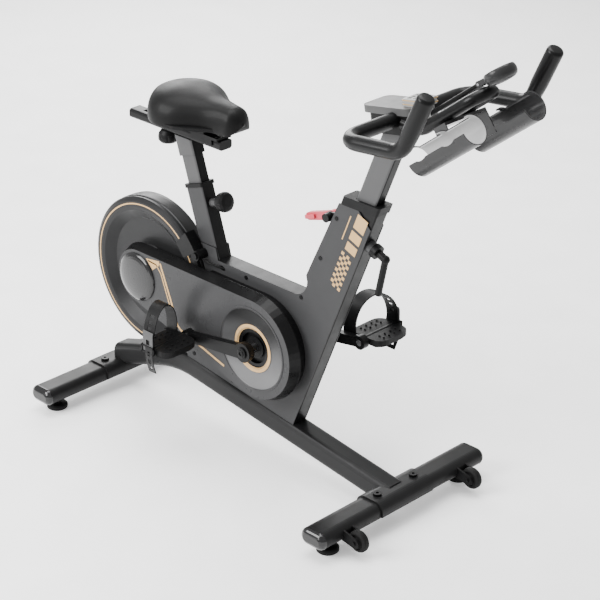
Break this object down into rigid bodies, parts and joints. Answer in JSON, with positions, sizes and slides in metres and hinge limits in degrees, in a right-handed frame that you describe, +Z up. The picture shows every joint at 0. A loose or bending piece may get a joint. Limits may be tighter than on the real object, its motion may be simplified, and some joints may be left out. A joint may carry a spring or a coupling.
{
  "type": "exercise bike",
  "caption": "Upright belt-driven exercise bike with a rear flywheel, magnetic brake, sliding saddle, height-adjustable handlebar with forward grips, and pedals with toe straps.",
  "frame": {"origin": "on the floor, under the middle of the bike's bounding box", "axes": "+X forward, +Y to the rider's left, +Z up"},
  "size_m": [1.1178, 0.484, 1.0147],
  "materials": {
    "frame_paint": "satin graphite powder coat",
    "black_paint": "satin black powder coat",
    "black_moulding": "fine-grained black moulding",
    "gloss_black": "glossy black",
    "black_steel": "black forged steel",
    "bearing_steel": "turned",
    "cover_plastic": "satin grey moulding",
    "belt_rubber": "matt black",
    "wheel_rubber": "matt black",
    "red_plastic": "glossy red",
    "flywheel_iron": "painted face, machined grey rim",
    "strap_grey": "flexible grey strap",
    "post_grey": "satin light grey powder coat",
    "saddle_skin": "black artificial leather with a soft sheen",
    "housing_grey": "satin light grey",
    "grip_foam": "soft dipped black coating",
    "cradle_plastic": "satin dark grey"
  },
  "bodies": {
    "frame": {"spine": "frame_paint", "front_stabilizer": "frame_paint", "rear_stabilizer": "frame_paint", "stabilizer_caps": "black_moulding", "stabilizer_brackets": "frame_paint", "frame_fasteners": "black_steel", "down_tube": "black_paint", "top_beam": "black_paint", "seat_tube": "frame_paint", "right_side_panel": "frame_paint", "left_side_panel": "frame_paint", "head_collar": "black_moulding", "seat_collar": "black_moulding", "crank_shell": "frame_paint", "crank_bearings": "bearing_steel", "flywheel_stays": "frame_paint", "flywheel_axle": "bearing_steel", "drive_cover": "cover_plastic", "drive_tray": "black_moulding", "hub_cap": "gloss_black", "crank_dish": "cover_plastic", "drive_belt": "belt_rubber", "wheel_forks": "black_moulding", "brake_bracket": "black_paint", "brake_cable": "belt_rubber"},
    "flywheel_body": {"flywheel": "flywheel_iron", "flywheel_bearings": "bearing_steel"},
    "crankset": {"crankset_pulley": "black_moulding", "crank_axle": "bearing_steel", "right_crank": "black_steel", "left_crank": "black_steel", "right_pedal_spindle": "bearing_steel", "left_pedal_spindle": "bearing_steel"},
    "right_pedal_body": {"right_pedal": "black_moulding", "right_pedal_strap": "strap_grey"},
    "left_pedal_body": {"left_pedal": "black_moulding", "left_pedal_strap": "strap_grey"},
    "brake_lever_body": {"brake_lever": "red_plastic"},
    "magnet_arm_body": {"magnet_arm": "black_paint"},
    "wheel_right": {"transport_wheel_right": "wheel_rubber"},
    "wheel_left": {"transport_wheel_left": "wheel_rubber"},
    "foot_fr": {"foot_front_right": "wheel_rubber"},
    "foot_fl": {"foot_front_left": "wheel_rubber"},
    "foot_rr": {"foot_rear_right": "wheel_rubber"},
    "foot_rl": {"foot_rear_left": "wheel_rubber"},
    "seat_mast": {"seat_post": "post_grey", "seat_rail": "post_grey"},
    "seat_pin": {"seat_pin_knob": "black_moulding"},
    "saddle": {"saddle_carriage": "black_steel", "saddle_frame": "bearing_steel", "saddle_pad": "saddle_skin"},
    "saddle_knob_body": {"saddle_knob": "black_moulding"},
    "handlebar": {"bar_post": "post_grey", "bar_housing": "housing_grey", "grip_bar": "grip_foam", "extension_loop": "grip_foam", "console": "housing_grey", "cradles": "cradle_plastic"},
    "bar_lock": {"bar_lock_handle": "black_moulding"},
    "monitor_body": {"monitor": "gloss_black"}
  },
  "joints": [
    {"name": "flywheel_spin", "type": "hinge", "parent": "frame", "child": "flywheel_body", "pos_m": [-0.391, 0, 0.319], "axis": [0, 1, 0], "continuous": true},
    {"name": "crank_spin", "type": "hinge", "parent": "frame", "child": "crankset", "pos_m": [-0.044, 0, 0.27], "axis": [0, 1, 0], "continuous": true},
    {"name": "right_pedal_spin", "type": "hinge", "parent": "crankset", "child": "right_pedal_body", "pos_m": [-0.21243, -0.14, 0.24693], "axis": [0, 1, 0], "continuous": true},
    {"name": "left_pedal_spin", "type": "hinge", "parent": "crankset", "child": "left_pedal_body", "pos_m": [0.12443, 0.14, 0.29307], "axis": [0, 1, 0], "continuous": true},
    {"name": "seat_post_height", "type": "slide", "parent": "frame", "child": "seat_mast", "axis": [-0.309, 0, 0.9511], "range_m": [-0.05, 0.07]},
    {"name": "seat_slide", "type": "slide", "parent": "seat_mast", "child": "saddle", "axis": [1, 0, 0], "range_m": [-0.065, 0.002]},
    {"name": "saddle_knob_turn", "type": "hinge", "parent": "saddle", "child": "saddle_knob_body", "pos_m": [-0.353, 0, 0.64], "axis": [0, 0, 1], "range_deg": [-180, 180]},
    {"name": "seat_pin_pull", "type": "slide", "parent": "frame", "child": "seat_pin", "axis": [0.9511, 0, 0.309], "range_m": [0, 0.01], "stiffness_N_per_m": 800, "springref_m": -0.003},
    {"name": "bar_post_height", "type": "slide", "parent": "frame", "child": "handlebar", "axis": [0.3827, 0, 0.9239], "range_m": [-0.08, 0.1]},
    {"name": "bar_lock_turn", "type": "hinge", "parent": "frame", "child": "bar_lock", "pos_m": [0.18245, 0, 0.58148], "axis": [0.9239, 0, -0.3827], "range_deg": [-90, 90]},
    {"name": "monitor_tilt", "type": "hinge", "parent": "handlebar", "child": "monitor_body", "pos_m": [0.47981, 0, 0.96119], "axis": [0, 1, 0], "range_deg": [-10, 10]},
    {"name": "brake_lever_press", "type": "hinge", "parent": "frame", "child": "brake_lever_body", "pos_m": [0.124, 0, 0.6], "axis": [0, -1, 0], "range_deg": [0, 18], "stiffness_Nm_per_rad": 2, "springref_deg": -5.73},
    {"name": "magnet_arm_swing", "type": "hinge", "parent": "frame", "child": "magnet_arm_body", "pos_m": [-0.22905, 0, 0.4125], "axis": [0, -1, 0], "range_deg": [0, 3]},
    {"name": "wheel_right_spin", "type": "hinge", "parent": "frame", "child": "wheel_right", "pos_m": [0.359, -0.168, 0.035], "axis": [0, 1, 0], "continuous": true},
    {"name": "wheel_left_spin", "type": "hinge", "parent": "frame", "child": "wheel_left", "pos_m": [0.359, 0.168, 0.035], "axis": [0, 1, 0], "continuous": true},
    {"name": "foot_fr_turn", "type": "hinge", "parent": "frame", "child": "foot_fr", "pos_m": [0.3, -0.194, 0], "axis": [0, 0, 1], "range_deg": [-180, 180]},
    {"name": "foot_fl_turn", "type": "hinge", "parent": "frame", "child": "foot_fl", "pos_m": [0.3, 0.194, 0], "axis": [0, 0, 1], "range_deg": [-180, 180]},
    {"name": "foot_rr_turn", "type": "hinge", "parent": "frame", "child": "foot_rr", "pos_m": [-0.528, -0.194, 0], "axis": [0, 0, 1], "range_deg": [-180, 180]},
    {"name": "foot_rl_turn", "type": "hinge", "parent": "frame", "child": "foot_rl", "pos_m": [-0.528, 0.194, 0], "axis": [0, 0, 1], "range_deg": [-180, 180]}
  ],
  "couplings": [
    {"joint": "crank_spin", "follows": "flywheel_spin", "ratio": 0.32609},
    {"joint": "magnet_arm_swing", "follows": "brake_lever_press", "ratio": 0.16667}
  ]
}
